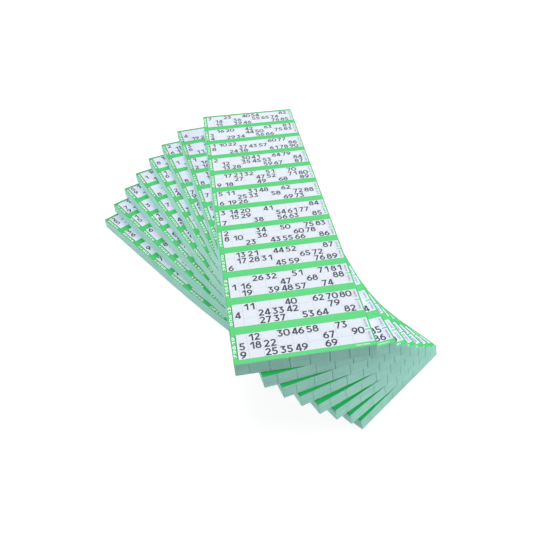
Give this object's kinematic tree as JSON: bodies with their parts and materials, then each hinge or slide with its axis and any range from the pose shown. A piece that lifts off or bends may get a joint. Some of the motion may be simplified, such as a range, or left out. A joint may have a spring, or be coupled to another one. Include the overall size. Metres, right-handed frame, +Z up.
{
  "type": "bingo card pads",
  "caption": "Loose pads of printed bingo leaves, stacked flat and fanned out about one upright axis, with a top leaf that lifts at its gummed far edge.",
  "frame": {"origin": "on the underside of the lowest pad, where the axis of the fan meets the table", "axes": "+Z up along the axis of the fan; +X across the top pad, to the right as it is read; +Y along the top pad, away from the reader"},
  "size_m": [0.2839, 0.3693, 0.0763],
  "materials": {
    "printed_leaf": "matt, printed in green",
    "cut_leaves": "matt cut edges, tinted by the print",
    "gum": "dried padding gum, slightly glossy"
  },
  "bodies": {
    "pad_8": {"pad_8_leaves": "cut_leaves", "pad_8_gum": "gum", "pad_8_top_leaf": "printed_leaf"},
    "pad_7": {"pad_7_leaves": "cut_leaves", "pad_7_gum": "gum", "pad_7_top_leaf": "printed_leaf"},
    "pad_6": {"pad_6_leaves": "cut_leaves", "pad_6_gum": "gum", "pad_6_top_leaf": "printed_leaf"},
    "pad_5": {"pad_5_leaves": "cut_leaves", "pad_5_gum": "gum", "pad_5_top_leaf": "printed_leaf"},
    "pad_4": {"pad_4_leaves": "cut_leaves", "pad_4_gum": "gum", "pad_4_top_leaf": "printed_leaf"},
    "pad_3": {"pad_3_leaves": "cut_leaves", "pad_3_gum": "gum", "pad_3_top_leaf": "printed_leaf"},
    "pad_2": {"pad_2_leaves": "cut_leaves", "pad_2_gum": "gum", "pad_2_top_leaf": "printed_leaf"},
    "pad_1": {"pad_1_leaves": "cut_leaves", "pad_1_gum": "gum"},
    "top_leaf": {"pad_1_top_leaf": "printed_leaf"}
  },
  "joints": [
    {"name": "pad_7_turn", "type": "hinge", "parent": "pad_8", "child": "pad_7", "pos_m": [0, 0, 0.00954], "axis": [0, 0, 1], "range_deg": [-8.23, 3.77]},
    {"name": "pad_6_turn", "type": "hinge", "parent": "pad_7", "child": "pad_6", "pos_m": [0, 0, 0.01908], "axis": [0, 0, 1], "range_deg": [-7.44, 4.56]},
    {"name": "pad_5_turn", "type": "hinge", "parent": "pad_6", "child": "pad_5", "pos_m": [0, 0, 0.02862], "axis": [0, 0, 1], "range_deg": [-7.37, 4.63]},
    {"name": "pad_4_turn", "type": "hinge", "parent": "pad_5", "child": "pad_4", "pos_m": [0, 0, 0.03816], "axis": [0, 0, 1], "range_deg": [-7.16, 4.84]},
    {"name": "pad_3_turn", "type": "hinge", "parent": "pad_4", "child": "pad_3", "pos_m": [0, 0, 0.0477], "axis": [0, 0, 1], "range_deg": [-7.37, 4.63]},
    {"name": "pad_2_turn", "type": "hinge", "parent": "pad_3", "child": "pad_2", "pos_m": [0, 0, 0.05724], "axis": [0, 0, 1], "range_deg": [-6.77, 5.23]},
    {"name": "pad_1_turn", "type": "hinge", "parent": "pad_2", "child": "pad_1", "pos_m": [0, 0, 0.06678], "axis": [0, 0, 1], "range_deg": [-4.06, 7.94]},
    {"name": "top_leaf_lift", "type": "hinge", "parent": "pad_1", "child": "top_leaf", "pos_m": [-0.01862, 0.21785, 0.0763], "axis": [-1, 0, 0], "range_deg": [0, 170]}
  ]
}
